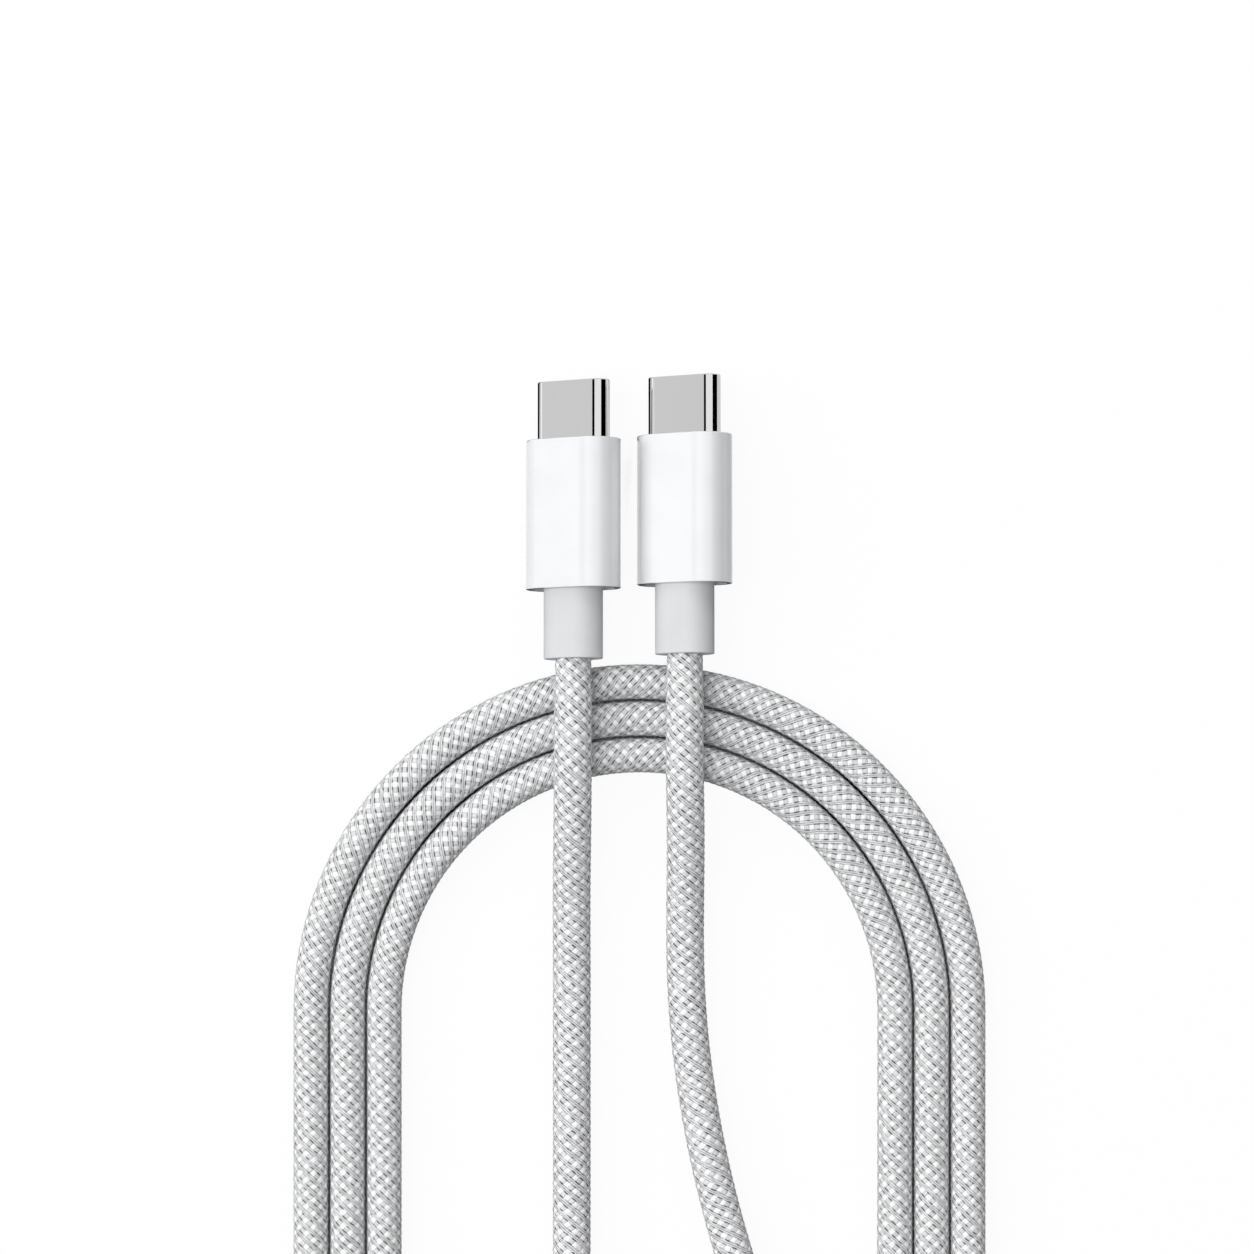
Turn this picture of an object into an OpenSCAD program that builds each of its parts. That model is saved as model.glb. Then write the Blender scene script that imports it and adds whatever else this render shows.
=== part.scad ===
// USB-C to USB-C charging cable, 1 m from tip to tip, coiled flat on a table.
// Both plugs point along +Y. They lie rolled to one side, with their tips tilted down to the table,
// because their cords are held up where they cross the top of the coil.
// Millimetres, +Z up. The origin is on the table, midway between the two plugs.

/* [Cord and coil] */
// Outside diameter of the braided cord
cord_d = 3.8; // [3.5:0.1:4.2]
// Space between neighbouring turns
turn_gap = 0.05; // [0.05:0.05:0.3]
// Number of turns in the coil
turns = 3; // [2:1:4]
// Radius of the outermost turn round the coil's top, to the middle of the cord
coil_r = 34.45; // [32:0.05:38]
// Length of the coil's straight sides
coil_side = 26; // [16:1:36]
// Distance of the coil's centre to the right of the plugs
coil_x = 1.1; // [-2:0.1:2]
// Space between the end of the left collar and the coil
coil_clear = 0.3; // [0.2:0.1:3]

/* [Lie of the plugs] */
// Distance between the axes of the two plugs
plug_spacing = 11.6; // [11.2:0.1:14]
// How much further up the right plug lies than the left one
plug_stagger = 0.5; // [0:0.1:1]
// Roll of each plug about its own axis, right edge up, degrees
roll = 29; // [0:1:35]
// Tilt of each plug, tip down, degrees
tilt = 4.2; // [3:0.2:6]

/* [Metal shell] */
// Width of the shell
shell_w = 8.25; // [8.2:0.01:8.3]
// Thickness of the shell across its flats
shell_t = 2.4; // [2.36:0.01:2.46]
// Sheet thickness of the shell
shell_wall = 0.3; // [0.26:0.01:0.32]
// Length of shell that stands out of the housing
shell_out = 6.2; // [6:0.05:6.8]
// Length of shell that is held inside the housing
shell_in = 3; // [2.9:0.05:3.4]
// Radius rolled onto the shell's rim
shell_lip_r = 0.14; // [0.05:0.01:0.2]

/* [Contact carrier] */
// Depth of the carrier's face inside the shell's rim
mouth_recess = 0.25; // [0.15:0.05:0.4]
// Length of the contact carrier
carrier_len = 8.4; // [8.3:0.05:8.8]
// Thickness of the carrier on each side of the slot for the socket's tongue
slot_side = 0.345; // [0.325:0.005:0.42]
// Height of the slot
slot_t = 1; // [0.9:0.02:1.02]
// Depth of the slot
slot_depth = 4.9; // [4.7:0.05:5.2]
// Depth of the wider lead-in at the slot's mouth
lead_in = 0.15; // [0.1:0.05:0.15]

/* [Contacts and springs] */
// Contacts in the upper row
contact_count = 12; // [8:2:12]
// Distance between neighbouring contacts
contact_pitch = 0.5; // [0.48:0.01:0.51]
// Width of one contact
contact_w = 0.25; // [0.2:0.01:0.28]
// Sheet thickness of the contacts
contact_thk = 0.15; // [0.12:0.01:0.16]
// How far a contact's bump stands into the slot
contact_bump = 0.18; // [0.14:0.01:0.2]
// Length of the contact tails soldered to the card
tail_len = 1.2; // [0.8:0.1:1.5]
// Sheet thickness of the latch plate
latch_thk = 0.3; // [0.2:0.02:0.36]
// Width of each latch arm
latch_arm = 0.24; // [0.18:0.01:0.25]
// How far a latch hook stands into the slot
latch_hook = 0.3; // [0.2:0.02:0.4]
// Sheet thickness of the ground springs
ground_thk = 0.1; // [0.08:0.01:0.12]
// Flat of the carrier left bare on each side of the ground springs
ground_margin = 0.125; // [0.025:0.025:0.4]
// Diameter of the pads on the ground springs
ground_pad_d = 0.44; // [0.3:0.02:0.5]

/* [Card and wires] */
// Width of the circuit card
card_w = 6.6; // [6:0.1:7]
// Length of the circuit card
card_len = 7; // [6:0.1:7.2]
// Thickness of the circuit card
card_t = 0.8; // [0.7:0.05:0.9]
// Size of the cable's marker chip
chip_size = [2, 2, 0.55];
// Size of each capacitor
capacitor_size = [1, 0.5, 0.5];
// Diameter of the power and ground wires
power_wire_d = 0.9; // [0.8:0.05:0.95]
// Diameter of the signal wires
signal_wire_d = 0.6; // [0.5:0.05:0.7]
// Length of wire soldered to the card
wire_overlap = 1; // [0.5:0.1:1.5]
// Diameter of the cord's jacket where the braid is cut back
jacket_d = 3.4; // [3.2:0.05:3.45]

/* [Shield can] */
// Width of the shield can
can_w = 8.1; // [7.9:0.05:8.4]
// Thickness of the shield can
can_t = 3.5; // [3.4:0.05:3.6]
// Sheet thickness of the shield can
can_wall = 0.2; // [0.15:0.01:0.22]
// Length of the shield can
can_len = 8.3; // [8:0.1:8.6]
// Length of the crimp ring
crimp_len = 1.8; // [1.2:0.1:2]
// Wall of the crimp ring
crimp_wall = 0.32; // [0.25:0.01:0.38]

/* [Housing] */
// Width of the housing
housing_w = 10.5; // [10.3:0.1:11]
// Thickness of the housing
housing_t = 5.8; // [5.7:0.05:6.2]
// Length of the housing
housing_len = 15.6; // [15.4:0.1:17]
// Wall of the housing
housing_wall = 0.55; // [0.5:0.01:0.58]
// Thickness of the housing's front
front_wall = 1; // [0.8:0.1:1.4]
// Edge radius at the housing's front
front_edge_r = 0.15; // [0.1:0.05:0.5]
// Edge radius at the housing's back
back_edge_r = 0.08; // [0.06:0.02:0.3]

/* [Strain relief] */
// Width of the collar
collar_w = 6.4; // [6:0.1:7.4]
// Thickness of the collar
collar_t = 4.6; // [4.4:0.05:4.6]
// Length of the collar behind the housing
collar_len = 7.3; // [6:0.1:9]
// Edge radius at the collar's end
collar_edge_r = 0.1; // [0.06:0.02:0.4]
// Depth of the collar's root below the housing's back rim
root_recess = 0.15; // [0.05:0.05:0.3]

/* [Fits] */
// Clearance between pieces that fit together
fit = 0.03; // [0.02:0.01:0.04]

/* [Hidden] */
$fn = 48;
past = 1; // how far a cutting shape runs past what it cuts

// Stations along a plug's axis: 0 is the housing's front face, and the tip is at +Y.
carrier_front = shell_out - mouth_recess;
carrier_back = carrier_front - carrier_len;
slot_back = carrier_front - slot_depth;
latch_front = carrier_front - 1.1;
latch_base_front = slot_back - 0.85;
contact_tip = carrier_front - 1.2;
ground_back = carrier_front - 1;
ground_front = carrier_front - 0.2;
card_front = carrier_back - fit;
card_back = card_front - card_len;
can_front = -shell_in;
can_back = can_front - can_len;
crimp_back = can_back - crimp_len;
mould_back = crimp_back - 0.2;
root_front = mould_back - fit;
root_back = -housing_len + root_recess;
collar_back = -housing_len - collar_len;

// Sections of the plug's pieces
carrier_w = shell_w - 2 * (shell_wall + fit);
carrier_t = shell_t - 2 * (shell_wall + fit);
slot_w = carrier_w - 2 * slot_side;
ground_w = carrier_w - carrier_t - 2 * ground_margin;
cavity_w = housing_w - 2 * housing_wall;
cavity_t = housing_t - 2 * housing_wall;
mould_w = cavity_w - 2 * fit;
mould_t = cavity_t - 2 * fit;
can_hole_d = can_t - 2 * can_wall;
crimp_d = jacket_d + 2 * (fit + crimp_wall);

// Lie of the plugs: the front lower edge of each housing rests on the table.
housing_lean = (housing_w - housing_t) / 2 * sin(roll) + housing_t / 2;
shell_lean = (shell_w - shell_t) / 2 * sin(roll) + shell_t / 2;
collar_lean = (collar_w - collar_t) / 2 * sin(roll) + collar_t / 2;
plug_z = (housing_lean - front_edge_r) * cos(tilt) + front_edge_r * (1 - sin(tilt));
reach_front = shell_out * cos(tilt) + shell_lean * sin(tilt);
reach_back = -collar_back * cos(tilt) + collar_lean * sin(tilt);
plug_y = (reach_back - reach_front) / 2;
plug_a = [-plug_spacing / 2, plug_y - plug_stagger / 2, plug_z];
plug_b = [plug_spacing / 2, plug_y + plug_stagger / 2, plug_z];
exit_step = [0, -cos(tilt), sin(tilt)];
exit_a = plug_a - collar_back * exit_step;
exit_b = plug_b - collar_back * exit_step;

// The coil: round ends joined by straight sides. Its turns are concentric round the top, and each
// gains half a pitch at the top and half at the bottom, where the arcs are centred half a pitch aside.
pitch = cord_d + turn_gap;
first_r = coil_r - (turns - 1) * pitch;
coil_y = plug_a.y - reach_back - coil_clear - coil_r - cord_d / 2;
top_centre = [coil_x, coil_y];
low_centre = top_centre - [0, coil_side];
flat_cut = cord_d / 10; // the faceted cord is cut flat where it lies on the table
coil_z = cord_d / 2 - flat_cut;
floor_z = cord_d / 2;
arc_steps = 10;
side_steps = 2;
half_steps = arc_steps + side_steps;
turn_steps = 2 * half_steps;
last_step = turns * turn_steps - arc_steps + 4;

// Middle of the coil's cord at a step. Half turns with an even number go up the right side and over
// the top, and those with an odd number go down the left side and round the bottom.
function coil_angle(i) =
    let (half = floor(i / half_steps), k = i - half * half_steps)
    180 * (half % 2) + 180 * max(0, k - side_steps) / arc_steps;
function coil_point(i) =
    let (half = floor(i / half_steps), k = i - half * half_steps, rises = half % 2 == 0)
    let (radius = first_r + half * pitch / 2, angle = coil_angle(i))
    let (centre = rises ? top_centre : low_centre + [pitch / 2, 0])
    let (along = (rises ? -1 : 1) * coil_side * max(0, 1 - k / side_steps))
    [centre.x + radius * cos(angle), centre.y + radius * sin(angle) + along, coil_z];
function coil_heading(i) = [-sin(coil_angle(i)), cos(coil_angle(i)), 0];

coil_start = coil_point(0);
coil_end = coil_point(last_step) + cord_d * coil_heading(last_step);
coil_points = concat([for (i = [0:last_step]) coil_point(i)], [coil_end]);

// Routes of the free cord. The points beside the coil's top are measured from its top centre, and
// those round its bottom from its low centre. They are [right, up, height above the table].
route_a_top = [
    [-6.95, 26.5, 5.85], [-7, 19.8, 4.7], [-7.1, 12.8, 2.9], [-7.1, 5.5, 2], [-7.1, -2, 1.9],
    [-7.1, -10, 1.9], [-7.1, -18, 1.9]
];
route_a_low = [
    [-7.1, 0, 1.9], [-7.1, -8.5, 1.9], [-6.4, -16.4, 1.9], [-2.2, -22, 1.9], [4.6, -24.2, 1.9],
    [12.6, -22, 1.9], [19.2, -17.2, 1.9], [23.8, -10.8, 1.9]
];
route_b_low = [
    [4.5, -38.2, 2.5], [11, -37.4, 3.8], [15.8, -33.6, 5.3], [17.6, -27.4, 5.9],
    [16.9, -20.6, 5.85], [14.8, -13.6, 4.9], [12.2, -6.4, 3.5], [9.8, 0.8, 2.4], [7.8, 8.2, 1.9]
];
route_b_top = [
    [6.2, -9.8, 1.9], [5.2, -2, 1.9], [4.8, 5.5, 2], [4.8, 12.8, 2.9], [4.8, 19.8, 4.7],
    [4.7, 26.5, 5.85]
];
function placed(points, centre) = [for (p = points) [p.x + centre.x, p.y + centre.y, p.z]];
function raised(p) = [p.x, p.y, floor_z];
cord_a_points = concat(
    [exit_a, exit_a + cord_d * exit_step],
    placed(route_a_top, top_centre),
    placed(route_a_low, low_centre),
    [raised(coil_start) - cord_d / 2 * coil_heading(0), raised(coil_start)]
);
cord_b_points = concat(
    [raised(coil_end), raised(coil_end) + cord_d * coil_heading(last_step)],
    placed(route_b_low, low_centre),
    placed(route_b_top, top_centre),
    [exit_b + cord_d * exit_step, exit_b]
);

// Sections of the cord, as [sideways, up] from its middle
tube_section = [for (a = [22.5:45:337.5]) cord_d / 2 * [cos(a), sin(a)]];
coil_section = concat(
    [for (a = [-30:60:210]) cord_d / 2 * [cos(a), sin(a)]],
    [for (s = [-1, 1]) [s * flat_cut * tan(60), -coil_z]]
);

// Sweeps a section along points: each ring lies square to the mean of the two runs that meet there.
function unit(v) = v / norm(v);
function run(points, i) = unit(points[i + 1] - points[i]);
function ring(points, i, section) =
    let (last = len(points) - 1)
    let (ahead = unit(run(points, max(i - 1, 0)) + run(points, min(i, last - 1))))
    let (side = unit(cross(ahead, [0, 0, 1])), up = cross(side, ahead))
    [for (s = section) points[i] + s.x * side + s.y * up];
function rings(points, section) = [for (i = [0:len(points) - 1]) ring(points, i, section)];
module sweep(points, section) {
    n = len(section);
    m = len(points);
    sides = [
        for (i = [0:m - 2]) for (j = [0:n - 1])
        let (a = i * n + j, b = i * n + (j + 1) % n)
        each [[a, b, a + n], [b, b + n, a + n]]
    ];
    caps = [for (j = [1:n - 2]) each [[0, j + 1, j], (m - 1) * n * [1, 1, 1] + [0, j, j + 1]]];
    polyhedron([for (r = rings(points, section)) each r], concat(sides, caps));
}

coil_rings = rings(coil_points, coil_section);
coil_gap = min([
    for (i = [0:len(coil_rings) - turn_steps - 1])
    for (k = [i + turn_steps - 1:min(i + turn_steps + 1, len(coil_rings) - 1)])
    for (a = coil_rings[i]) for (b = coil_rings[k]) norm(a - b)
]);
function route_len(points) = len(points) < 2 ? 0
    : norm(points[1] - points[0]) + route_len([for (i = [1:len(points) - 1]) points[i]]);
echo(str("least gap between the coil's turns, mm: ", coil_gap));
echo(str("cord between the collars, mm: ",
    route_len(cord_a_points) + route_len(coil_points) + route_len(cord_b_points)));

// Shapes shared by the plug's pieces. They grow along +Z and are turned to run along the plug.
module oval(w, t) {
    square([w - t, t], center = true);
    for (s = [-1, 1]) translate([s * (w - t) / 2, 0]) circle(d = t);
}
module corner(r) {
    if (r > 0) difference() {
        square(r);
        circle(r);
    }
}
module edge_profile(half_t, length, low_r, high_r) {
    difference() {
        square([half_t, length]);
        translate([half_t - low_r, low_r]) mirror([0, 1]) corner(low_r);
        translate([half_t - high_r, length - high_r]) corner(high_r);
    }
}
module oval_bar(w, t, length, low_r = 0, high_r = 0) {
    for (s = [-1, 1])
        translate([s * (w - t) / 2, 0, 0]) rotate([0, 0, -90 * s])
            rotate_extrude(angle = 180) edge_profile(t / 2, length, low_r, high_r);
    translate([-(w - t) / 2, 0, 0]) rotate([90, 0, 90]) linear_extrude(w - t) {
        edge_profile(t / 2, length, low_r, high_r);
        mirror([1, 0]) edge_profile(t / 2, length, low_r, high_r);
    }
}
module along(y) {
    translate([0, y, 0]) rotate([-90, 0, 0]) children();
}
module oval_hole(w, t, back, front) {
    along(back) linear_extrude(front - back) oval(w + 2 * fit, t + 2 * fit);
}
module round_hole(d, back, front) {
    along(back) cylinder(d = d + 2 * fit, h = front - back);
}
module bar(x, y, z, size) {
    translate([x - size.x / 2, y, z]) cube(size);
}
module in_plug(plug) {
    translate(plug) rotate([-tilt, 0, 0]) rotate([0, -roll, 0]) children();
}

// One plug, from the tip back
module shell(plug) {
    color("silver") in_plug(plug) difference() {
        along(-shell_in)
            oval_bar(shell_w, shell_t, shell_out + shell_in, high_r = shell_lip_r);
        along(-shell_in - past) linear_extrude(shell_out + shell_in + 2 * past)
            oval(shell_w - 2 * shell_wall, shell_t - 2 * shell_wall);
    }
}

function contact_xs(count) = [for (i = [0:count - 1]) (i - (count - 1) / 2) * contact_pitch];
upper_xs = contact_xs(contact_count);
lower_xs = [for (x = upper_xs) if (abs(x) > contact_pitch) x]; // the middle pair is left out

module contact_grooves(xs) {
    for (x = xs)
        bar(x, carrier_back - past, slot_t / 2 - fit,
            [contact_w + 2 * fit, contact_tip + fit - carrier_back + past, contact_thk + 2 * fit]);
}
module ground_pads(d, top) {
    for (i = [-1.5:1.5])
        translate([i * ground_w / 4, (ground_back + ground_front) / 2, slot_t / 2 - 2 * fit])
            cylinder(d = d, h = top - slot_t / 2 + 2 * fit);
}
module ground_recess() {
    seat = carrier_t / 2 - ground_thk - fit;
    bar(0, ground_back - fit, seat, [ground_w + 2 * fit, ground_front - ground_back + 2 * fit, past]);
    translate([0, 0, -fit]) ground_pads(ground_pad_d + 2 * fit, seat + 2 * fit);
}
module latch_room() {
    room_t = latch_thk + 2 * fit;
    base_len = latch_base_front + fit - carrier_back + past;
    bar(0, carrier_back - past, -room_t / 2, [carrier_w + past, base_len, room_t]);
    for (s = [-1, 1])
        bar(s * (slot_w + past) / 2, carrier_back, -room_t / 2,
            [past, latch_front + fit - carrier_back, room_t]);
}
module contact_carrier(plug) {
    color([0.1, 0.1, 0.11]) in_plug(plug) difference() {
        along(carrier_back) linear_extrude(carrier_len) oval(carrier_w, carrier_t);
        bar(0, slot_back, -slot_t / 2, [slot_w, slot_depth + past, slot_t]);
        bar(0, carrier_front - lead_in, -slot_t / 2 - lead_in / 2,
            [slot_w + lead_in, lead_in + past, slot_t + lead_in]);
        contact_grooves(upper_xs);
        mirror([0, 0, 1]) contact_grooves(lower_xs);
        ground_recess();
        mirror([0, 0, 1]) ground_recess();
        latch_room();
    }
}

// A contact: tail on the card, step up to the carrier, spring arm and bump
contact_line = [
    [carrier_back - 0.4 - tail_len, card_t / 2], [carrier_back - 0.4, card_t / 2],
    [carrier_back - 0.1, slot_t / 2], [contact_tip - 1.3, slot_t / 2],
    [contact_tip - 0.75, slot_t / 2 - contact_bump], [contact_tip - 0.55, slot_t / 2 - contact_bump],
    [contact_tip, slot_t / 2]
];
module contact(x) {
    over = [for (i = [len(contact_line) - 1:-1:0]) contact_line[i] + [0, contact_thk]];
    translate([x - contact_w / 2, 0, 0]) rotate([90, 0, 90])
        linear_extrude(contact_w) polygon(concat(contact_line, over));
}
module upper_contacts(plug) {
    color("gold") in_plug(plug) for (x = upper_xs) contact(x);
}
module lower_contacts(plug) {
    color("gold") in_plug(plug) mirror([0, 0, 1]) for (x = lower_xs) contact(x);
}

// The latch plate: one stamping, with a hooked arm down each side of the slot
latch_in = slot_w / 2 + fit;
latch_out = latch_in + latch_arm;
latch_tip = slot_w / 2 - latch_hook;
latch_half = [
    [latch_out, carrier_back], [latch_out, latch_front], [latch_in, latch_front],
    [latch_tip, latch_front - 0.25], [latch_tip, latch_front - 0.45],
    [latch_in, latch_front - 0.8], [latch_in, latch_base_front]
];
module latch_plate(plug) {
    left = [for (i = [len(latch_half) - 1:-1:0]) [-latch_half[i].x, latch_half[i].y]];
    color("lightsteelblue") in_plug(plug)
        translate([0, 0, -latch_thk / 2]) linear_extrude(latch_thk)
            polygon(concat(latch_half, left));
}
module ground_springs(plug) {
    strip_z = carrier_t / 2 - ground_thk;
    color("lightsteelblue") in_plug(plug) for (side = [0, 1]) mirror([0, 0, side]) {
        bar(0, ground_back, strip_z, [ground_w, ground_front - ground_back, ground_thk]);
        ground_pads(ground_pad_d, strip_z);
    }
}

module paddle_card(plug) {
    color("seagreen") in_plug(plug)
        bar(0, card_back, -card_t / 2, [card_w, card_len, card_t]);
}
module marker_chip(plug) {
    color([0.15, 0.15, 0.16]) in_plug(plug)
        bar(0, (card_front + card_back) / 2 - chip_size.y / 2, card_t / 2, chip_size);
}
module capacitors(plug) {
    color("tan") in_plug(plug) for (s = [-1, 1])
        bar(s * card_w / 3, (card_front + card_back) / 2, card_t / 2, capacitor_size);
}
module wire(x, z, d) {
    translate([x, 0, z]) along(can_back)
        cylinder(d = d, h = card_back + wire_overlap - can_back);
}
module power_wires(plug) {
    color("firebrick") in_plug(plug) for (s = [-1, 1])
        wire(s * (power_wire_d / 2 + fit), (card_t + power_wire_d) / 2, power_wire_d);
}
module signal_wires(plug) {
    color("ivory") in_plug(plug) for (i = [-1:1])
        wire(i * (signal_wire_d + fit), -(card_t + signal_wire_d) / 2, signal_wire_d);
}

module shield_can(plug) {
    color("gainsboro") in_plug(plug) difference() {
        along(can_back) linear_extrude(can_len) oval(can_w, can_t);
        along(can_back + can_wall) linear_extrude(can_len - 2 * can_wall)
            oval(can_w - 2 * can_wall, can_t - 2 * can_wall);
        bar(0, can_front - can_wall - past, -(card_t / 2 + 2 * contact_thk),
            [card_w + 2 * can_wall, can_wall + 2 * past, card_t + 4 * contact_thk]);
        along(can_back - past) cylinder(d = can_hole_d, h = can_wall + 2 * past);
    }
}
module crimp_ring(plug) {
    color("silver") in_plug(plug) difference() {
        along(crimp_back) cylinder(d = crimp_d, h = crimp_len - fit);
        round_hole(jacket_d, crimp_back - past, can_back + past);
    }
}
module jacket_end(plug) {
    color("white") in_plug(plug)
        along(collar_back) cylinder(d = jacket_d, h = can_back - collar_back);
}
module inner_mould(plug) {
    color("whitesmoke") in_plug(plug) difference() {
        along(mould_back) linear_extrude(-front_wall - fit - mould_back) oval(mould_w, mould_t);
        oval_hole(shell_w, shell_t, can_front - past, past);
        oval_hole(can_w, can_t, can_back - fit, can_front + fit);
        round_hole(crimp_d, crimp_back - fit, can_back + past);
        round_hole(jacket_d, mould_back - past, can_back);
    }
}

module housing(plug) {
    color("white") in_plug(plug) difference() {
        along(-housing_len)
            oval_bar(housing_w, housing_t, housing_len, low_r = back_edge_r, high_r = front_edge_r);
        along(-housing_len - past) linear_extrude(housing_len - front_wall + past)
            oval(cavity_w, cavity_t);
        oval_hole(shell_w, shell_t, -front_wall - past, past);
    }
}
module strain_relief(plug) {
    color([0.93, 0.93, 0.94]) in_plug(plug) difference() {
        union() {
            along(root_back) linear_extrude(root_front - root_back) oval(mould_w, mould_t);
            along(collar_back)
                oval_bar(collar_w, collar_t, root_front - collar_back, low_r = collar_edge_r);
        }
        round_hole(jacket_d, collar_back - past, root_front + past);
    }
}

// The cord: the free stretch at the left plug, the coil, and the free stretch at the right plug
module cord_a() {
    color([0.78, 0.78, 0.79]) sweep(cord_a_points, tube_section);
}
module coil() {
    color([0.78, 0.78, 0.79]) sweep(coil_points, coil_section);
}
module cord_b() {
    color([0.78, 0.78, 0.79]) sweep(cord_b_points, tube_section);
}

shell(plug_a);  // shell_a
contact_carrier(plug_a);  // contact_carrier_a
upper_contacts(plug_a);  // upper_contacts_a
lower_contacts(plug_a);  // lower_contacts_a
latch_plate(plug_a);  // latch_plate_a
ground_springs(plug_a);  // ground_springs_a
paddle_card(plug_a);  // paddle_card_a
marker_chip(plug_a);  // marker_chip_a
capacitors(plug_a);  // capacitors_a
power_wires(plug_a);  // power_wires_a
signal_wires(plug_a);  // signal_wires_a
shield_can(plug_a);  // shield_can_a
crimp_ring(plug_a);  // crimp_ring_a
jacket_end(plug_a);  // jacket_end_a
inner_mould(plug_a);  // inner_mould_a
housing(plug_a);  // housing_a
strain_relief(plug_a);  // strain_relief_a
shell(plug_b);  // shell_b
contact_carrier(plug_b);  // contact_carrier_b
upper_contacts(plug_b);  // upper_contacts_b
lower_contacts(plug_b);  // lower_contacts_b
latch_plate(plug_b);  // latch_plate_b
ground_springs(plug_b);  // ground_springs_b
paddle_card(plug_b);  // paddle_card_b
capacitors(plug_b);  // capacitors_b
power_wires(plug_b);  // power_wires_b
signal_wires(plug_b);  // signal_wires_b
shield_can(plug_b);  // shield_can_b
crimp_ring(plug_b);  // crimp_ring_b
jacket_end(plug_b);  // jacket_end_b
inner_mould(plug_b);  // inner_mould_b
housing(plug_b);  // housing_b
strain_relief(plug_b);  // strain_relief_b
cord_a();
coil();
cord_b();
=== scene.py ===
import math

import bmesh
import bpy
import numpy as np
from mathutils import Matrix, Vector


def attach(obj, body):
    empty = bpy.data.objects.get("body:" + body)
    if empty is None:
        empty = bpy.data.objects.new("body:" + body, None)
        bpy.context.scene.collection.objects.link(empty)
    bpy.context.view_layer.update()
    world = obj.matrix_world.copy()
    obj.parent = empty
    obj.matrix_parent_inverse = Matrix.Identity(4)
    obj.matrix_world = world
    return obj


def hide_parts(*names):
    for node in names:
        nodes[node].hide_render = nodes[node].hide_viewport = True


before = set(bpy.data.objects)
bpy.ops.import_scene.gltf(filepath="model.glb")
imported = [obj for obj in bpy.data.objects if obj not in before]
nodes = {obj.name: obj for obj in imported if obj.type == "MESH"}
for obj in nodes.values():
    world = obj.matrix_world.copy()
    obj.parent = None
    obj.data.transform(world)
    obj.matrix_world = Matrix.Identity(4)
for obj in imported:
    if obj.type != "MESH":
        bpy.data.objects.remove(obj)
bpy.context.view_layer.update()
bpy.ops.object.select_all(action="DESELECT")
bpy.context.scene.view_settings.view_transform = "Standard"

cameraView = {
    "above": (-0.00021, -0.01143),  # the point on the table straight below the lens
    "height": 0.5,
    "lens": 136.4,  # millimetres
    "sensor": 36,  # millimetres
    "nearest": 0.01,  # what is closer than this isn't drawn
}
bpy.ops.object.camera_add(location=(*cameraView["above"], cameraView["height"]), rotation=(0, 0, 0))
camera = bpy.context.object
camera.name = "camera"
camera.data.lens = cameraView["lens"]
camera.data.sensor_width = cameraView["sensor"]
camera.data.clip_start = cameraView["nearest"]
bpy.context.scene.camera = camera
print("camera made")

cord = {
    "diameter": 0.0038,
    "turnPitch": 0.00385,  # from one turn of the coil to the next
    "halfTurns": 6,
    "lastAngle": 72,  # degrees that the last half turn goes round the bottom
    "firstRadius": 0.02675,
    "side": 0.026,  # length of the coil's straight sides
    "topCentre": (0.0011, -0.051607),
    "lowCentre": (0.0011, -0.077607),
    "exitA": (-0.0058, -0.0147566, 0.005695),
    "exitB": (0.0058, -0.0142566, 0.005695),
    "outOfCollar": (0, -0.997314, 0.073238),
    "yarns": 14,  # each way round the braid
    "yarnStep": 0.0007,  # from one yarn to the next, along the cord
    "gapDepth": 0.00006,  # how deep the corners between four yarns lie
    "woundRadius": 0.00183,  # pulled a little tighter where it is wound
    "woundRun": 0.02,  # length over which it tightens
    "looseRadius": 0.002,  # a little looser near the plugs
    "looseFrom": (0.001, 0.006),  # from a plug, where it starts and is fully loose
    "looseTo": (0.085, 0.105),  # and where it starts to tighten, and has
    "sampleStep": 0.0002,  # between the points of its route
}
# the cord's two free stretches, as points from the centres of the coil's ends
routeATop = [
    (-0.00695, 0.0265, 0.00585), (-0.007, 0.0198, 0.0047), (-0.0071, 0.0128, 0.0029),
    (-0.0071, 0.0055, 0.002), (-0.0071, -0.002, 0.0019), (-0.0071, -0.01, 0.0019),
    (-0.0071, -0.018, 0.0019),
]
routeALow = [
    (-0.0071, 0, 0.0019), (-0.0071, -0.0085, 0.0019), (-0.0064, -0.0164, 0.0019),
    (-0.0022, -0.022, 0.0019), (0.0046, -0.0242, 0.0019), (0.0126, -0.022, 0.0019),
    (0.0192, -0.0172, 0.0019), (0.0238, -0.0108, 0.0019),
]
routeBLow = [
    (0.0045, -0.0382, 0.0025), (0.011, -0.0374, 0.0038), (0.0158, -0.0336, 0.0053),
    (0.0176, -0.0274, 0.0059), (0.0169, -0.0206, 0.00585), (0.0148, -0.0136, 0.0049),
    (0.0122, -0.0064, 0.0035), (0.0098, 0.0008, 0.0024), (0.0078, 0.0082, 0.0019),
]
routeBTop = [
    (0.0062, -0.0098, 0.0019), (0.0052, -0.002, 0.0019), (0.0048, 0.0055, 0.002),
    (0.0048, 0.0128, 0.0029), (0.0048, 0.0198, 0.0047), (0.0047, 0.0265, 0.00585),
]
radius = cord["diameter"] / 2


def placed(points, centre):
    return [(x + centre[0], y + centre[1], z) for x, y, z in points]


def stepLengths(points):
    return np.linalg.norm(np.diff(points, axis=0), axis=1)


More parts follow.
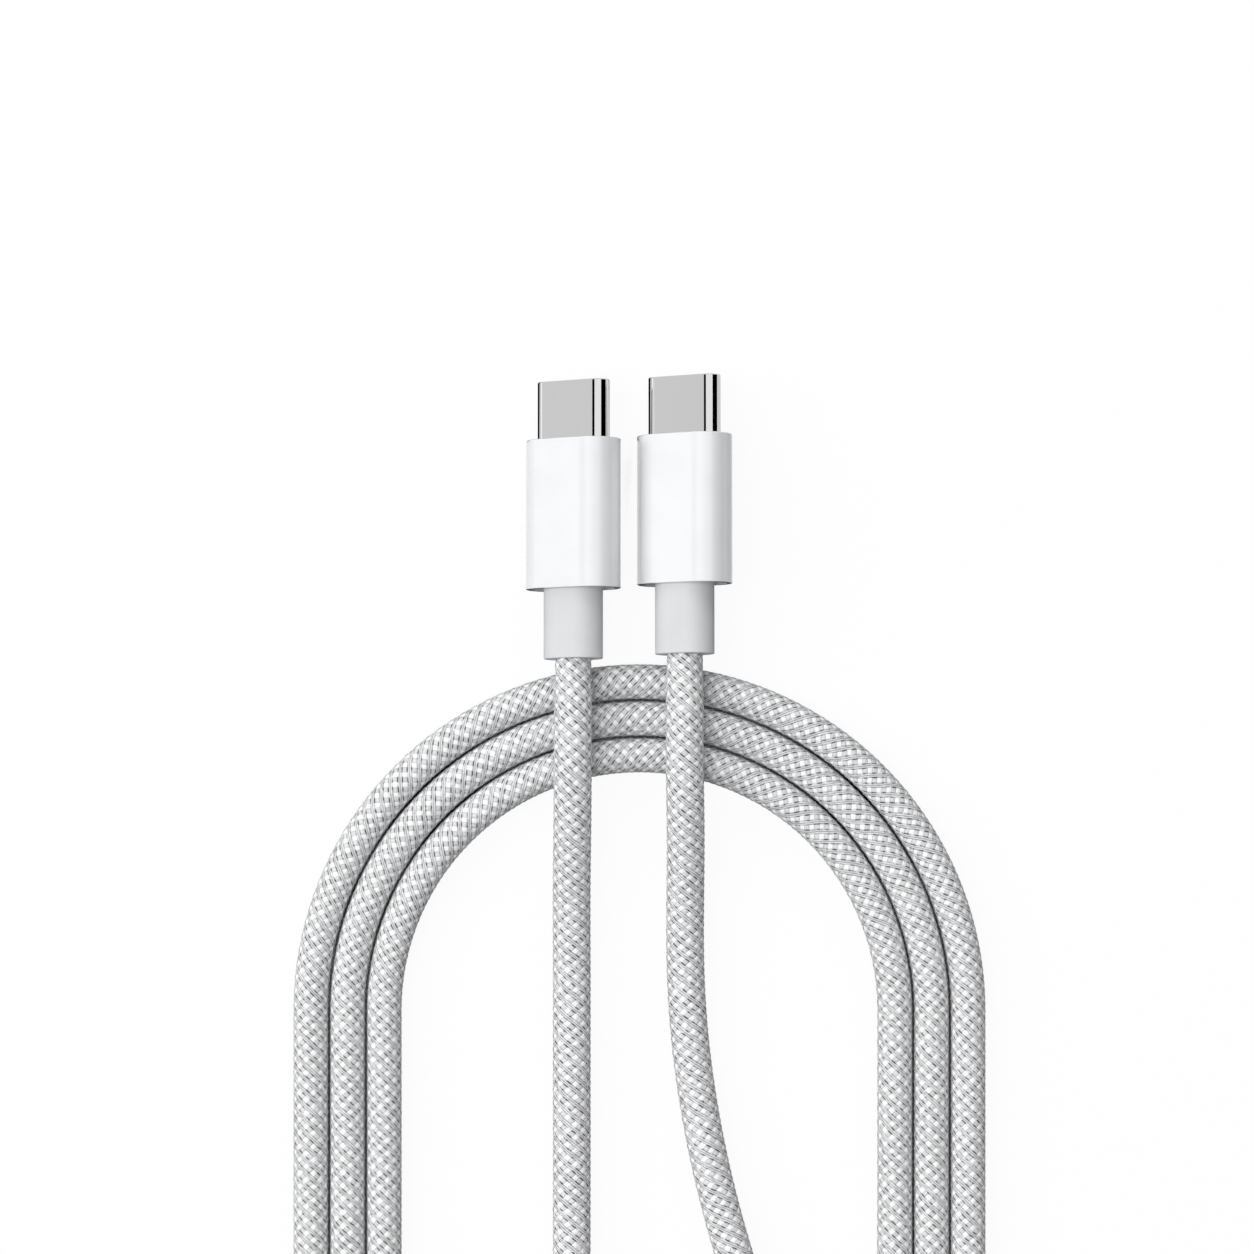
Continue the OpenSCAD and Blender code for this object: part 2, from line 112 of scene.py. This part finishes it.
def smoothRun(points, startWay, endWay):
    # one smooth curve through the points, sampled closely
    at = np.array(points, float)
    gap = stepLengths(at)
    count = len(at)
    matrix = np.eye(count)
    slopes = np.zeros((count, 3))
    slopes[0], slopes[-1] = startWay, endWay
    for i in range(1, count - 1):
        matrix[i, i - 1:i + 2] = 1 / gap[i - 1], 2 / gap[i - 1] + 2 / gap[i], 1 / gap[i]
        slopes[i] = 3 * ((at[i] - at[i - 1]) / gap[i - 1] ** 2 + (at[i + 1] - at[i]) / gap[i] ** 2)
    slopes = np.linalg.solve(matrix, slopes)
    runs = []
    for i in range(count - 1):
        steps = max(2, int(gap[i] / cord["sampleStep"]))
        t = np.linspace(0, 1, steps, endpoint=False)[:, None]
        runs.append(
            (2 * t**3 - 3 * t**2 + 1) * at[i] + (t**3 - 2 * t**2 + t) * gap[i] * slopes[i]
            + (3 * t**2 - 2 * t**3) * at[i + 1] + (t**3 - t**2) * gap[i] * slopes[i + 1]
        )
    run = np.vstack(runs + [at[-1:]])
    run[:, 2] = np.maximum(run[:, 2], radius)  # never below the table
    return run


def coilRun():
    # half turns go up the right side and over the top, then down the left side and round the bottom
    step, pitch = cord["sampleStep"], cord["turnPitch"]
    lowCentre = (cord["lowCentre"][0] + pitch / 2, cord["lowCentre"][1])
    runs = []
    for half in range(cord["halfTurns"]):
        bend = cord["firstRadius"] + half * pitch / 2
        rises = half % 2 == 0
        centre, way = (cord["topCentre"], 1) if rises else (lowCentre, -1)
        along = np.linspace(1, 0, int(cord["side"] / step), endpoint=False) * cord["side"]
        runs.append(np.c_[np.full(len(along), centre[0] + way * bend), centre[1] - way * along])
        sweep = math.radians(180 if half < cord["halfTurns"] - 1 else cord["lastAngle"])
        turned = np.linspace(0, sweep, int(sweep * bend / step), endpoint=False)
        turned = turned + (0 if rises else math.pi)
        runs.append(np.c_[centre[0] + bend * np.cos(turned), centre[1] + bend * np.sin(turned)])
    last = math.pi + sweep
    heading = np.array([-math.sin(last), math.cos(last)])
    end = np.array([centre[0] + bend * math.cos(last), centre[1] + bend * math.sin(last)])
    flat = np.vstack(runs + [end[None], (end + cord["diameter"] * heading)[None]])
    return np.c_[flat, np.full(len(flat), radius)], np.array([*heading, 0])


coilLine, coilHeading = coilRun()
outWay = np.array(cord["outOfCollar"])
exitA, exitB = np.array(cord["exitA"]), np.array(cord["exitB"])
coilStart, coilEnd = coilLine[0], coilLine[-1]
upward = np.array([0, 1, 0])
lineA = smoothRun(
    [exitA, exitA + cord["diameter"] * outWay, *placed(routeATop, cord["topCentre"]),
     *placed(routeALow, cord["lowCentre"]), coilStart - radius * upward, coilStart],
    outWay, upward,
)
lineB = smoothRun(
    [coilEnd, coilEnd + cord["diameter"] * coilHeading, *placed(routeBLow, cord["lowCentre"]),
     *placed(routeBTop, cord["topCentre"]), exitB + cord["diameter"] * outWay, exitB],
    coilHeading, -outWay,
)
line = np.vstack([lineA[:-1], coilLine[:-1], lineB])
reach = np.r_[0, np.cumsum(stepLengths(line))]
cordLength = float(reach[-1])
ringCount = round(cordLength / (cord["yarnStep"] / 2))
places = np.linspace(0, cordLength, ringCount + 1)
centres = np.stack([np.interp(places, reach, line[:, k]) for k in range(3)], axis=1)

# the cord is thinner where it is wound and thicker near the plugs
woundFrom, woundTo = stepLengths(lineA).sum(), cordLength - stepLengths(lineB).sum()
wound = np.minimum(places - woundFrom, woundTo - places) / cord["woundRun"] + 0.5
wound = np.clip(wound, 0, 1)
wound = wound**2 * (3 - 2 * wound)
fromPlug = np.minimum(places, cordLength - places)
loose = np.interp(fromPlug, [*cord["looseFrom"], *cord["looseTo"]], [0, 1, 1, 0])
radii = radius + (cord["woundRadius"] - radius) * wound + (cord["looseRadius"] - radius) * loose
centres[:, 2] = np.maximum(centres[:, 2], radii)  # it lies on the table all the same
print("cord route made,", round(cordLength, 4), "m,", ringCount, "rings")


def braidedTube(name, centres, radii):
    # a ring for each half yarn, so that every crossing and every corner between yarns has a point
    around = 2 * cord["yarns"]
    ahead = np.gradient(centres, axis=0)
    ahead /= np.linalg.norm(ahead, axis=1)[:, None]
    side = np.cross(ahead, [0, 0, 1])
    side /= np.linalg.norm(side, axis=1)[:, None]
    up = np.cross(side, ahead)
    angle = 2 * math.pi * np.arange(around) / around
    corner = (np.arange(len(centres))[:, None] + np.arange(around)[None]) % 2
    reachOut = radii[:, None] - cord["gapDepth"] * corner
    outward = (
        np.cos(angle)[None, :, None] * side[:, None] + np.sin(angle)[None, :, None] * up[:, None]
    )
    points = centres[:, None] + reachOut[..., None] * outward
    mesh = bmesh.new()
    yarnCount = mesh.loops.layers.uv.new("braid")  # counted in yarns, around and along
    verts = [[mesh.verts.new(p) for p in row] for row in points]
    for i in range(len(centres) - 1):
        for j in range(around):
            k = (j + 1) % around
            face = mesh.faces.new((verts[i][j], verts[i][k], verts[i + 1][k], verts[i + 1][j]))
            face.smooth = True
            corners = ((j, i), (j + 1, i), (j + 1, i + 1), (j, i + 1))
            for loop, (u, v) in zip(face.loops, corners):
                loop[yarnCount].uv = (u / 2, v / 2)
    mesh.faces.new(verts[0][::-1])
    mesh.faces.new(verts[-1])
    bmesh.ops.recalc_face_normals(mesh, faces=mesh.faces)
    data = bpy.data.meshes.new(name)
    mesh.to_mesh(data)
    mesh.free()
    piece = bpy.data.objects.new(name, data)
    bpy.context.scene.collection.objects.link(piece)
    return piece


cordPiece = braidedTube("braided_cord", centres, radii)
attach(cordPiece, "root")
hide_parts("cord_a", "coil", "cord_b")
print("cord made,", len(cordPiece.data.polygons), "faces")


def newMaterial(name, colour, roughness, metallic=0.0):
    material = bpy.data.materials.new(name)
    material.use_nodes = True
    shader = material.node_tree.nodes["Principled BSDF"]
    shader.inputs["Base Color"].default_value = (*colour, 1)
    shader.inputs["Roughness"].default_value = roughness
    shader.inputs["Metallic"].default_value = metallic
    return material, material.node_tree, shader


def add(tree, kind, **settings):
    node = tree.nodes.new("ShaderNode" + kind)
    for key, value in settings.items():
        setattr(node, key, value)
    return node


def feed(tree, sockets, values):
    # numbers and colours are set, and what comes from another node is linked
    for socket, value in zip(sockets, values):
        if isinstance(value, (int, float)):
            socket.default_value = value
        elif isinstance(value, tuple):
            socket.default_value = (*value, 1)
        else:
            tree.links.new(value, socket)


def maths(tree, operation, *values, clamp=False):
    node = add(tree, "Math", operation=operation, use_clamp=clamp)
    feed(tree, node.inputs, values)
    return node.outputs[0]


def multiplied(tree, first, second):
    return maths(tree, "MULTIPLY", first, second)


def mixed(tree, factor, first, second):
    node = add(tree, "Mix", data_type="RGBA")
    feed(tree, (node.inputs[0], node.inputs[6], node.inputs[7]), (factor, first, second))
    return node.outputs[2]


def mixedValue(tree, factor, first, second):
    node = add(tree, "Mix", data_type="FLOAT")
    feed(tree, (node.inputs[0], node.inputs[2], node.inputs[3]), (factor, first, second))
    return node.outputs[0]


def eased(tree, value, low, high, start, end):
    node = add(tree, "MapRange", interpolation_type="SMOOTHSTEP")
    feed(tree, node.inputs, (value, low, high, start, end))
    return node.outputs[0]


def noise(tree, vector, scale, detail=2.0, roughness=0.5):
    node = add(tree, "TexNoise")
    tree.links.new(vector, node.inputs["Vector"])
    node.inputs["Scale"].default_value = scale
    node.inputs["Detail"].default_value = detail
    node.inputs["Roughness"].default_value = roughness
    return node.outputs["Fac"]


def combined(tree, x, y, z=0.0):
    node = add(tree, "CombineXYZ")
    feed(tree, node.inputs, (x, y, z))
    return node.outputs[0]


def bumped(tree, shader, height, distance, strength):
    node = add(tree, "Bump")
    node.inputs["Strength"].default_value = strength
    node.inputs["Distance"].default_value = distance
    tree.links.new(height, node.inputs["Height"])
    tree.links.new(node.outputs[0], shader.inputs["Normal"])


braid = {
    "grey": (0.83, 0.835, 0.845),  # the long yarns between the rows of crossings
    "pale": (0.77, 0.775, 0.785),  # every other crossing in a row
    "white": (0.98, 0.98, 0.985),  # and the ones between
    # painted shade for the gaps and grooves between the yarns
    "gap": (0.05, 0.05, 0.055),
    # painted shade between the filaments
    "filamentShadeGrey": (0.25, 0.25, 0.26),
    "mottleGrey": (0.3, 0.3, 0.31),
    "roughness": 0.78,
    "shine": 0.3,
    # sizes are in yarns, and a row of crossings repeats every two
    "whiteHalf": (0.6, 0.53),  # half sizes of a white crossing, across and along the yarn
    "whiteEdge": (0.7, 1.3),  # from fully white to not at all
    "whiteSquare": 4.0,  # 2 would make the white crossings round
    "rowHalf": 0.56,  # half the width of a row of crossings
    "rowBlur": 0.04,
    "gapWidth": 0.125,  # of the painted shade line beside a row of crossings
    "gapAlong": (0.35, 0.65),  # where that line deepens, beside the pale ones
    "gapLeast": 0.45,
    "gapVaries": (0.5, 1.35),  # from yarn to yarn
    "grooveWidth": 0.08,  # of the fine lines
    "grooveShade": 0.55,  # painted shade between the two strands of a long yarn
    "betweenShade": 0.35,  # painted shade between the crossings in a row
    "filaments": (5.0, 0.5),  # in a yarn, and how often they change along it
    "filamentSpan": (0.3, 0.7),  # of the noise, as in the other spans
    # how strong the painted shade between the filaments is
    "filamentShade": 0.2,
    "mottleSpan": (0.38, 0.62),
    "mottleDark": 0.27,
    "waver": 0.15,  # how far the yarns stray to either side
    "waverScales": (900.0, 1300.0),  # for the yarns that go one way round and the other
    "sway": 0.12,  # how far they all shift along the cord together
    "swayScale": 330.0,
    "mottleScale": 1700.0,
    "dullScale": 1100.0,
    "dullSpan": (0.3, 0.55),
    "dullest": 0.62,  # of the white crossings
    "pillowFrom": 0.25,  # where a crossing starts to fall off to the edge of its row
    "pillowHeight": 0.85,
    "filamentHeight": 0.1,
    "relief": 0.00009,
    "reliefStrength": 0.7,
}


def wander(tree, place, scale, detail, size):
    return multiplied(tree, maths(tree, "SUBTRACT", noise(tree, place, scale, detail), 0.5), 2 * size)


def yarnCounts(tree, place):
    # counts the yarns the one way and the other, with some wander
    spread = add(tree, "UVMap", uv_map="braid")
    parts = add(tree, "SeparateXYZ")
    tree.links.new(spread.outputs[0], parts.inputs[0])
    around, along = parts.outputs[0], parts.outputs[1]
    first, second = (wander(tree, place, scale, 2.0, braid["waver"]) for scale in braid["waverScales"])
    lean = wander(tree, place, braid["swayScale"], 1.0, braid["sway"])
    first, second = maths(tree, "ADD", first, lean), maths(tree, "SUBTRACT", second, lean)
    across = maths(tree, "ADD", maths(tree, "SUBTRACT", around, along), first)
    over = maths(tree, "ADD", maths(tree, "ADD", around, along), second)
    return across, over


def folded(tree, count):
    # 0 where the count is even and 1 where it is odd, with straight slopes between
    return maths(tree, "ABSOLUTE", maths(tree, "WRAP", count, 1.0, -1.0))


def ridge(tree, value, middle, width):
    # 1 at the middle, falling off smoothly on both sides
    offset = maths(tree, "DIVIDE", maths(tree, "SUBTRACT", value, middle), width)
    return maths(tree, "EXPONENT", multiplied(tree, multiplied(tree, offset, offset), -1.0))


def whiteCrossings(tree, place, acrossFold, overFold):
    away = [
        maths(tree, "POWER", maths(tree, "DIVIDE", fold, half), braid["whiteSquare"])
        for fold, half in zip((acrossFold, overFold), braid["whiteHalf"])
    ]
    white = eased(tree, maths(tree, "ADD", *away), *braid["whiteEdge"], 1.0, 0.0)
    dull = noise(tree, place, braid["dullScale"], detail=1.0)
    dull = eased(tree, dull, *braid["dullSpan"], braid["dullest"], 1.0)
    return multiplied(tree, white, dull)


def paintedGapShade(tree, acrossFold, overFold, plain, mottle):
    # painted shade in the gaps beside the rows of crossings, deepest beside the pale ones, and in the
    # fine grooves
    beside = ridge(tree, acrossFold, braid["rowHalf"], braid["gapWidth"])
    beside = multiplied(tree, beside, eased(tree, overFold, *braid["gapAlong"], braid["gapLeast"], 1.0))
    beside = multiplied(tree, beside, eased(tree, mottle, 0.0, 1.0, *braid["gapVaries"]))
    groove = multiplied(tree, ridge(tree, acrossFold, 1.0, braid["grooveWidth"]), braid["grooveShade"])
    between = multiplied(tree, ridge(tree, overFold, 0.5, braid["grooveWidth"]), braid["betweenShade"])
    between = multiplied(tree, between, maths(tree, "SUBTRACT", 1.0, plain))
    return maths(tree, "MAXIMUM", beside, maths(tree, "MAXIMUM", groove, between), clamp=True)


def filaments(tree, across, over, plain):
    # they run along whichever yarn is on top, and the 7 sets the second noise apart from the first
    fine, coarse = braid["filaments"]
    lengthways = combined(tree, multiplied(tree, across, fine), multiplied(tree, over, coarse))
    crossways = combined(tree, multiplied(tree, across, coarse), multiplied(tree, over, fine), 7.0)
    picked = mixedValue(tree, plain, noise(tree, crossways, 1.0), noise(tree, lengthways, 1.0))
    return eased(tree, picked, *braid["filamentSpan"], 0.0, 1.0)


def yarnHeight(tree, acrossFold, over, plain, filament):
    # two strands in each long yarn, and a pillow at each crossing
    rowHalf = braid["rowHalf"]
    strandHalf = (1 - rowHalf) / 2
    strand = maths(tree, "SUBTRACT", acrossFold, rowHalf + strandHalf)
    strand = maths(tree, "DIVIDE", strand, strandHalf)
    strand = maths(tree, "SUBTRACT", 1.0, multiplied(tree, strand, strand), clamp=True)
    strand = maths(tree, "SQRT", strand)
    pillow = maths(tree, "ABSOLUTE", maths(tree, "COSINE", multiplied(tree, over, math.pi)))
    pillow = maths(tree, "POWER", pillow, 0.5)
    fall = eased(tree, acrossFold, braid["pillowFrom"], rowHalf, braid["pillowHeight"], 0.0)
    pillow = multiplied(tree, pillow, fall)
    height = maths(tree, "ADD", multiplied(tree, strand, plain), pillow)
    return maths(tree, "SUBTRACT", height, multiplied(tree, filament, braid["filamentHeight"]))


def braidFinish():
    material, tree, shader = newMaterial("braid", braid["grey"], braid["roughness"])
    shader.inputs["Specular IOR Level"].default_value = braid["shine"]
    place = add(tree, "TexCoord").outputs["Object"]
    across, over = yarnCounts(tree, place)
    acrossFold, overFold = folded(tree, across), folded(tree, over)
    rowHalf, blur = braid["rowHalf"], braid["rowBlur"]
    plain = eased(tree, acrossFold, rowHalf - blur, rowHalf + blur, 0.0, 1.0)  # the long yarns
    mottle = eased(tree, noise(tree, place, braid["mottleScale"]), *braid["mottleSpan"], 0.0, 1.0)
    filament = filaments(tree, across, over, plain)
    colour = mixed(tree, plain, braid["pale"], braid["grey"])
    # painted shade between the filaments, random mottle, the white crossings, and painted shade in the
    # gaps and grooves
    for amount, shade in (
        (multiplied(tree, filament, braid["filamentShade"]), braid["filamentShadeGrey"]),
        (multiplied(tree, mottle, braid["mottleDark"]), braid["mottleGrey"]),
        (whiteCrossings(tree, place, acrossFold, overFold), braid["white"]),
        (paintedGapShade(tree, acrossFold, overFold, plain, mottle), braid["gap"]),
    ):
        colour = mixed(tree, amount, colour, shade)
    tree.links.new(colour, shader.inputs["Base Color"])
    height = yarnHeight(tree, acrossFold, over, plain, filament)
    bumped(tree, shader, height, braid["relief"], braid["reliefStrength"])
    return material


plastic = {
    "cloudScale": 220.0,  # slow changes of shade
    "cloudSpan": (0.35, 0.65),
    "cloudShade": 0.97,
    "roughScale": 900.0,
    "roughSpan": (0.3, 0.7),
    "roughSpread": 0.1,
    "skinScale": 2500.0,  # fine unevenness
    "skinDepth": 0.000004,
    "skinStrength": 0.35,
}


def plasticFinish(name, colour, roughness, coat=0.0, coatRoughness=0.05, specular=0.5):
    material, tree, shader = newMaterial(name, colour, roughness)
    shader.inputs["Coat Weight"].default_value = coat
    shader.inputs["Coat Roughness"].default_value = coatRoughness
    shader.inputs["Specular IOR Level"].default_value = specular
    place = add(tree, "TexCoord").outputs["Object"]
    cloud = noise(tree, place, plastic["cloudScale"], detail=3.0)
    cloud = eased(tree, cloud, *plastic["cloudSpan"], 0.0, 1.0)
    darker = tuple(c * plastic["cloudShade"] for c in colour)
    tree.links.new(mixed(tree, cloud, colour, darker), shader.inputs["Base Color"])
    low, high = roughness * (1 - plastic["roughSpread"]), roughness * (1 + plastic["roughSpread"])
    rough = eased(tree, noise(tree, place, plastic["roughScale"]), *plastic["roughSpan"], low, high)
    tree.links.new(rough, shader.inputs["Roughness"])
    skin = noise(tree, place, plastic["skinScale"])
    bumped(tree, shader, skin, plastic["skinDepth"], plastic["skinStrength"])
    return material


metal = {
    "stretch": 200.0,  # how long the drawing lines are for their width
    "lineScale": 9000.0,
    "lineShade": 0.94,
    "roughSpan": (0.2, 0.8),
    "roughSpread": 0.2,
    "lineDepth": 0.000001,
    "lineStrength": 0.15,
}


def metalFinish(name, colour, roughness):
    material, tree, shader = newMaterial(name, colour, roughness, 1.0)
    place = add(tree, "TexCoord").outputs["Object"]
    drawn = add(tree, "Mapping", vector_type="TEXTURE")  # turned to run along the plug
    drawn.inputs["Rotation"].default_value = (-math.asin(cord["outOfCollar"][2]), 0, 0)
    drawn.inputs["Scale"].default_value = (1.0, metal["stretch"], 1.0)
    tree.links.new(place, drawn.inputs["Vector"])
    lines = noise(tree, drawn.outputs[0], metal["lineScale"], detail=3.0, roughness=0.6)
    darker = tuple(c * metal["lineShade"] for c in colour)
    tree.links.new(mixed(tree, lines, darker, colour), shader.inputs["Base Color"])
    low, high = roughness * (1 - metal["roughSpread"]), roughness * (1 + metal["roughSpread"])
    rough = eased(tree, lines, *metal["roughSpan"], low, high)
    tree.links.new(rough, shader.inputs["Roughness"])
    bumped(tree, shader, lines, metal["lineDepth"], metal["lineStrength"])
    return material


finishes = {
    "shell_nickel": metalFinish("bright nickel", (0.6, 0.6, 0.598), 0.06),
    "carrier_black": plasticFinish("carrier black", (0.016, 0.016, 0.018), 0.42),
    "contact_gold": metalFinish("contact gold", (0.92, 0.66, 0.26), 0.2),
    "spring_steel": metalFinish("spring steel", (0.56, 0.57, 0.58), 0.28),
    "card_green": plasticFinish("card green", (0.02, 0.16, 0.07), 0.35, coat=0.4),
    "chip_black": plasticFinish("chip black", (0.02, 0.02, 0.022), 0.5),
    "capacitor_tan": plasticFinish("capacitor tan", (0.42, 0.28, 0.14), 0.4),
    "wire_red": plasticFinish("wire red", (0.5, 0.03, 0.03), 0.4),
    "wire_white": plasticFinish("wire white", (0.75, 0.75, 0.73), 0.4),
    "can_tin": metalFinish("can tin", (0.62, 0.62, 0.6), 0.3),
    "jacket_white": plasticFinish("jacket white", (0.8, 0.8, 0.8), 0.5),
    "mould_white": plasticFinish("mould white", (0.82, 0.82, 0.8), 0.55),
    "housing_white": plasticFinish(
        "housing white", (0.745, 0.752, 0.764), 0.22, coat=0.8, coatRoughness=0.04, specular=0.3
    ),
    "collar_white": plasticFinish("collar white", (0.625, 0.632, 0.645), 0.42, specular=0.0),
    "braid_grey": braidFinish(),
}
cordPiece.data.materials.append(finishes["braid_grey"])
for name, node in nodes.items():
    for slot in node.material_slots:
        slot.material = finishes[slot.material.name.split(".")[0]]
print("finishes made for", len(nodes), "nodes")


def bareMaterial(name):
    # a material without its first shader, and the socket that takes another
    material = bpy.data.materials.new(name)
    material.use_nodes = True
    tree = material.node_tree
    tree.nodes.remove(tree.nodes["Principled BSDF"])
    return material, tree, tree.nodes["Material Output"].inputs["Surface"]


def glowing(tree, strength):
    node = add(tree, "Emission")
    node.inputs["Color"].default_value = (1, 1, 1, 1)
    node.inputs["Strength"].default_value = strength
    return node.outputs[0]


def whereSeen(tree, rays):
    # 1 for the camera, and for what metal and glass show
    seen = maths(tree, "MAXIMUM", rays.outputs["Is Camera Ray"], rays.outputs["Is Transmission Ray"])
    return maths(tree, "MAXIMUM", seen, rays.outputs["Is Glossy Ray"])


table = {
    "size": 3,
    "middle": (0, -0.04, -0.00003),
    "colour": (0.86, 0.86, 0.865),
    "paintedShadeColour": (0.03, 0.03, 0.03),  # painted shade where it is shut in, as between two turns
    "bounce": (0.25, 0.25, 0.25),  # what the table gives back to the object
    "glow": 0.94,  # how much of it is plain white where it is looked at or mirrored
    "reach": 0.004,  # how far it looks round for what shuts it in
    "shutIn": (0.18, 0.36),  # how open a place is where it is painted darkest, and where it has no painted shade
    "probes": 8,  # how many ways it looks round from each point
}
bpy.ops.mesh.primitive_plane_add(size=table["size"], location=table["middle"])
tablePiece = bpy.context.object
tablePiece.name = "table"


def tableMaterial():
    material, tree, surface = bareMaterial("pale table")
    rays = add(tree, "LightPath")
    shut = add(tree, "AmbientOcclusion", samples=table["probes"])
    shut.inputs["Distance"].default_value = table["reach"]
    # painted shade: where the table is shut in, as between two turns, its colour goes dark and its glow
    # fades
    openness = eased(tree, shut.outputs["AO"], *table["shutIn"], 0.0, 1.0)
    colour = mixed(tree, openness, table["paintedShadeColour"], table["colour"])
    colour = mixed(tree, rays.outputs["Is Diffuse Ray"], colour, table["bounce"])
    matt = add(tree, "BsdfDiffuse")
    tree.links.new(colour, matt.inputs["Color"])
    glow = multiplied(tree, multiplied(tree, whereSeen(tree, rays), openness), table["glow"])
    blend = add(tree, "MixShader")
    feed(tree, blend.inputs, (glow, matt.outputs[0], glowing(tree, 1.0)))
    tree.links.new(blend.outputs[0], surface)
    return material


tablePiece.data.materials.append(tableMaterial())

surroundings = {
    "colour": (0.985, 0.99, 1),
    "light": 0.3,  # what they give the object, while they are plain white where they are seen
}
world = bpy.data.worlds.new("studio")
bpy.context.scene.world = world
world.use_nodes = True
worldTree = world.node_tree
background = worldTree.nodes["Background"]
background.inputs["Color"].default_value = (*surroundings["colour"], 1)
seen = whereSeen(worldTree, add(worldTree, "LightPath"))
strength = eased(worldTree, seen, 0.0, 1.0, surroundings["light"], 1.0)
worldTree.links.new(strength, background.inputs["Strength"])

lampAim = Vector((0, -0.03, 0))
lamps = {  # place, size and power
    "left": ((-1.3, 0.14, 0.92), 1.0, 11.0),
    "over": ((-0.5, 0, 1.63), 1.1, 14.3),
    "far": ((0, 1.2, 0.6), 1.0, 6.2),
    "right": ((1.2, 0.14, 0.8), 1.0, 1.1),
}
for name, (place, size, energy) in lamps.items():
    bpy.ops.object.light_add(type="AREA", location=place)
    lamp = bpy.context.object
    lamp.name = name + " lamp"
    lamp.data.shape = "DISK"
    lamp.data.size = size
    lamp.data.energy = energy
    lamp.rotation_euler = (lampAim - Vector(place)).to_track_quat("-Z", "Y").to_euler()
    lamp.visible_glossy = False  # the cards are what the metal reflects

cardLength = 1.2
arcCards = {  # from and to, in degrees to the right of straight up, and how bright each one is
    "low white card": (-95, -78, 1.6),
    "grey card": (-78, -56, 1.0),
    "left flag": (-56, -34, 0.0),
    "overhead card": (-34, 32.5, 1.3),
    "right flag": (32.5, 86, 0.0),
    "right card": (86, 95, 1.3),
}
flagHeight = 0.0002
lowFlags = {  # left, right, near and far edges of the dark cards on the table, for dark rims
    "low flag beside shell A": (-0.0155, -0.0095, 0.0082, 0.017),
    "low flag beside shell B": (-0.0034, 0.002, 0.0082, 0.017),
    "low flag behind the housings": (-0.013, 0.013, -0.014, -0.0074),
}
shellStrip = {  # stands between the shells, for a bright line beside each one's dark rim
    "middle": (-0.0009, 0.0112, 0.00455),
    "facing": (1, 0, 0),
    "height": 0.0016,
    "length": 0.0076,
    "shade": 1.15,
}


def studioCard(name, place, facing, width, length, shade):
    # a card that only reflections see
    bpy.ops.mesh.primitive_plane_add(size=1, location=place)
    card = bpy.context.object
    card.name = name
    card.scale = (length, width, 1)
    card.rotation_euler = Vector(facing).to_track_quat("Z", "Y").to_euler()
    for way in ("camera", "diffuse", "shadow", "transmission", "volume_scatter"):
        setattr(card, "visible_" + way, False)
    material, tree, surface = bareMaterial(name)
    tree.links.new(glowing(tree, shade), surface)
    card.data.materials.append(material)


for name, (first, last, shade) in arcCards.items():  # on an arc round the plugs
    middle = math.radians((first + last) / 2)
    width = 2 * math.tan(math.radians(last - first) / 2)
    place = Vector((math.sin(middle), 0, math.cos(middle)))
    studioCard(name, place, -place, width, cardLength, shade)
for name, (left, right, near, far) in lowFlags.items():
    middle = ((left + right) / 2, (near + far) / 2, flagHeight)
    studioCard(name, middle, (0, 0, 1), far - near, right - left, 0.0)
studioCard(
    "strip between the shells", shellStrip["middle"], shellStrip["facing"], shellStrip["height"],
    shellStrip["length"], shellStrip["shade"],
)
print("table, lamps and cards made")
